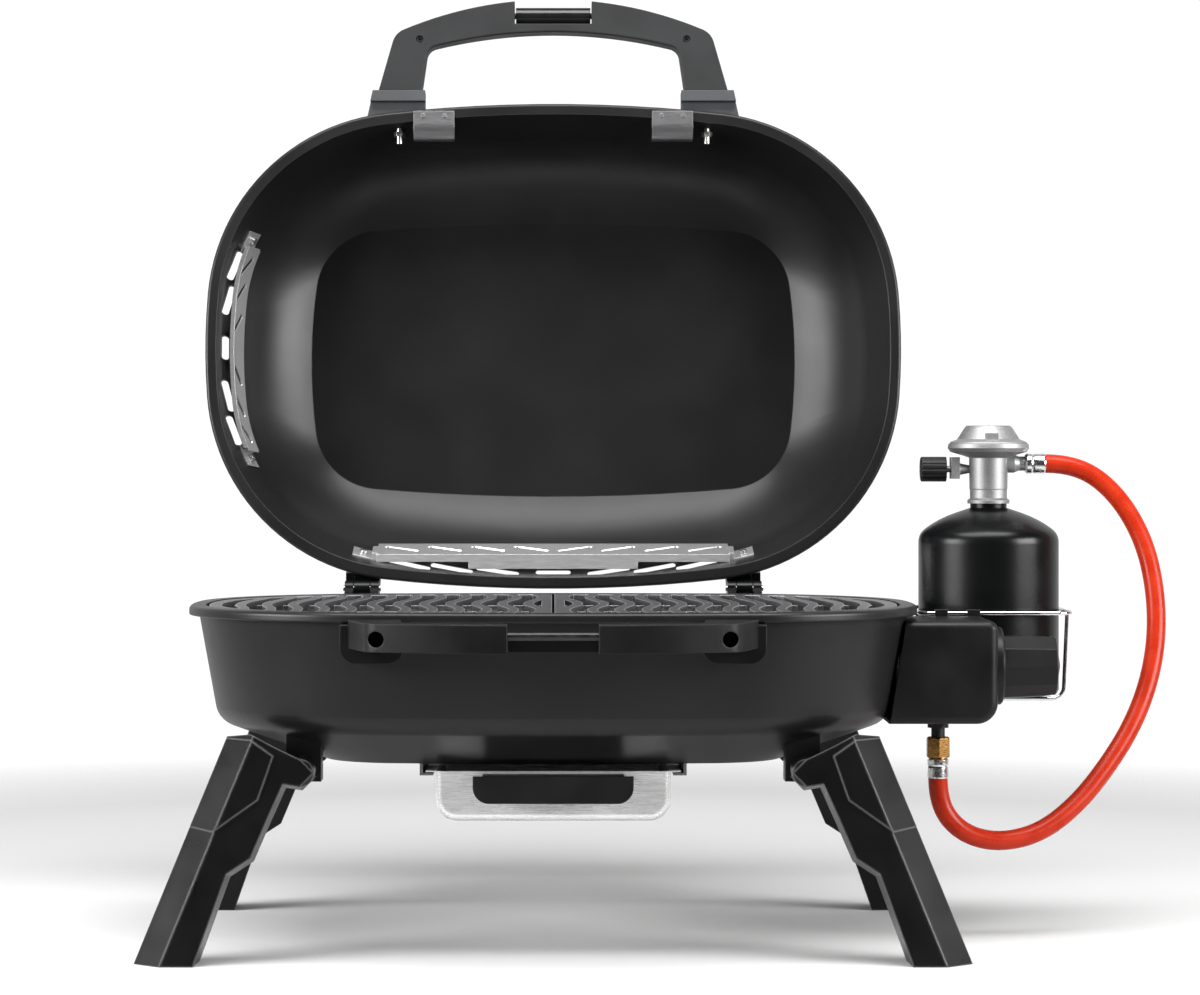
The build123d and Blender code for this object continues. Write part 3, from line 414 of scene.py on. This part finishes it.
# pieces that look a little different from the others of their slot
SPECIAL = {
    "lid_handle": "grip_plastic",
    "vent_baffle_back": "baffle_steel",
    "vent_baffle_side": "baffle_steel",
    "leg_front_left": "leg_plastic",
    "leg_front_right": "leg_plastic",
    "leg_back_left": "leg_plastic",
    "leg_back_right": "leg_plastic",
}
for row in frame["record"]["subparts"]:
    piece = nodes[row["node"]]
    look = FINISH[SPECIAL.get(row["node"], row["material_slot"])]
    for place in piece.material_slots:
        place.material = look
    if not piece.material_slots:
        piece.data.materials.append(look)
hose.data.materials.append(FINISH["orange_rubber"])

# ---- studio: a pale floor that fades out into a white surround ----
FLOOR_HALF = 2.2
FADE_START = 0.8
FADE_END = 1.35
floor_mesh = bpy.data.meshes.new("floor")
sheet = bmesh.new()
bmesh.ops.create_grid(sheet, x_segments=8, y_segments=8, size=FLOOR_HALF)
sheet.to_mesh(floor_mesh)
sheet.free()
floor = bpy.data.objects.new("floor", floor_mesh)
bpy.context.scene.collection.objects.link(floor)
floor.location.y = 0.4
paper = bpy.data.materials.new("paper_look")
paper.use_nodes = True
paper_tree = paper.node_tree
paper_shader = paper_tree.nodes["Principled BSDF"]
paper_shader.inputs["Base Color"].default_value = (0.55, 0.55, 0.55, 1)
paper_shader.inputs["Roughness"].default_value = 0.95
paper_shader.inputs["Specular IOR Level"].default_value = 0.0
away = paper_tree.nodes.new("ShaderNodeVectorMath")
away.operation = "LENGTH"
where = paper_tree.nodes.new("ShaderNodeTexCoord")
paper_tree.links.new(where.outputs["Object"], away.inputs[0])
paper_tree.links.new(
    spread(paper, away.outputs["Value"], 1, 0, FADE_START, FADE_END),
    paper_shader.inputs["Alpha"],
)
floor_mesh.materials.append(paper)


def light(name, place, target, size, power):
    """A rectangular softbox that points at the target."""
    lamp = bpy.data.lights.new(name, "AREA")
    lamp.shape = "RECTANGLE"
    lamp.size = size[0]
    lamp.size_y = size[1]
    lamp.energy = power
    holder = bpy.data.objects.new(name, lamp)
    holder.location = place
    holder.rotation_euler = (Vector(target) - Vector(place)).to_track_quat("-Z", "Y").to_euler()
    bpy.context.scene.collection.objects.link(holder)


light("side_left", (-1.9, -0.95, 0.74), (0, 0.1, 0.42), (1.2, 0.8), 64)
light("side_right", (1.9, -0.95, 0.74), (0, 0.1, 0.42), (1.2, 0.8), 58)
light("top", (0, -0.6, 2.1), (0, 0.15, 0.3), (2.2, 1.1), 80)

# a white surround, that the object reflects brightly behind it and only dimly in front
world = bpy.data.worlds.new("world")
bpy.context.scene.world = world
world.use_nodes = True
sky = world.node_tree
surround = sky.nodes["Background"]
surround.inputs["Color"].default_value = (1, 1, 1, 1)
surround.inputs["Strength"].default_value = 1.05
reflected = sky.nodes.new("ShaderNodeBackground")
toward = sky.nodes.new("ShaderNodeTexCoord")
split = sky.nodes.new("ShaderNodeSeparateXYZ")
shade = sky.nodes.new("ShaderNodeMapRange")
shade.interpolation_type = "SMOOTHSTEP"
shade.inputs["From Min"].default_value = 0.0
shade.inputs["From Max"].default_value = 0.7
shade.inputs["To Min"].default_value = 0.045
shade.inputs["To Max"].default_value = 0.9
seen = sky.nodes.new("ShaderNodeLightPath")
both = sky.nodes.new("ShaderNodeMixShader")
sky.links.new(toward.outputs["Generated"], split.inputs["Vector"])
sky.links.new(split.outputs["Y"], shade.inputs["Value"])
sky.links.new(shade.outputs["Result"], reflected.inputs["Strength"])
sky.links.new(seen.outputs["Is Camera Ray"], both.inputs["Fac"])
sky.links.new(reflected.outputs["Background"], both.inputs[1])
sky.links.new(surround.outputs["Background"], both.inputs[2])
sky.links.new(both.outputs["Shader"], sky.nodes["World Output"].inputs["Surface"])
bpy.context.scene.view_settings.view_transform = "Standard"

bpy.context.view_layer.update()
